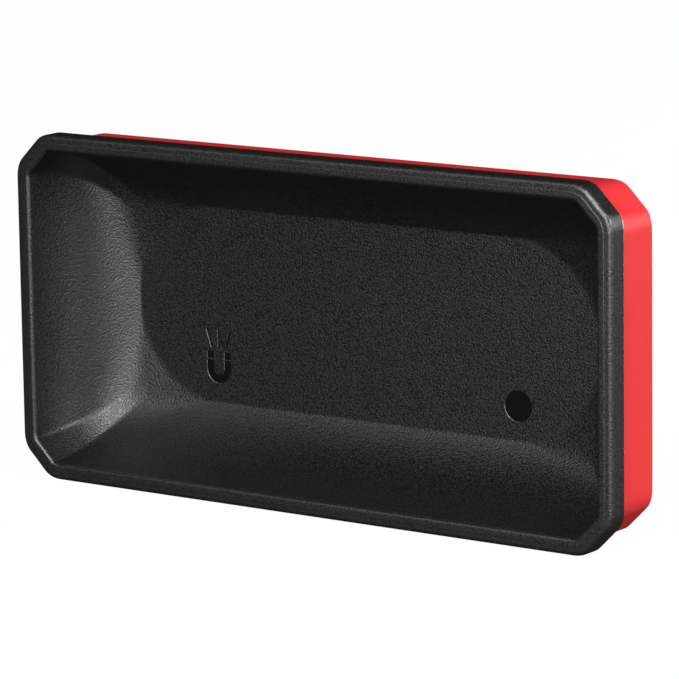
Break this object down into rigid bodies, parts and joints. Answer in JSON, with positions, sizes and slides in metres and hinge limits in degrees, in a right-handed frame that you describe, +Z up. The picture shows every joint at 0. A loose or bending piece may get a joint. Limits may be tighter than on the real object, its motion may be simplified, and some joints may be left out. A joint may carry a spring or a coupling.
{
  "type": "magnetic storage bin",
  "caption": "Long open bin with a coved black tray and cut-off corners, set in a red rear shell that holds magnet rails, so it sticks to steel and keeps small steel parts on its floor.",
  "frame": {"origin": "centre of the rear mat's face, where the bin meets the steel wall", "axes": "+Z up as the bin hangs, +X along its length to the right as seen from the front, +Y from the open mouth back to the wall"},
  "size_m": [0.254, 0.0508, 0.127],
  "materials": {
    "tray_plastic": "black moulded plastic with a fine pebbled grain",
    "shell_plastic": "red moulded plastic, smooth satin",
    "pole_steel": "sheared mild-steel strip",
    "ferrite": "sintered ferrite, dark grey and matt",
    "mat_rubber": "black rubber sheet, matt",
    "screw_steel": "zinc-plated steel"
  },
  "bodies": {
    "root": {"inner_tray": "tray_plastic", "rear_shell": "shell_plastic", "pole_strip_1": "pole_steel", "pole_strip_2": "pole_steel", "pole_strip_3": "pole_steel", "pole_strip_4": "pole_steel", "magnet_block_1": "ferrite", "magnet_block_2": "ferrite", "magnet_block_3": "ferrite", "magnet_block_4": "ferrite", "magnet_block_5": "ferrite", "magnet_block_6": "ferrite", "back_mat": "mat_rubber", "case_screws": "screw_steel"}
  },
  "joints": []
}
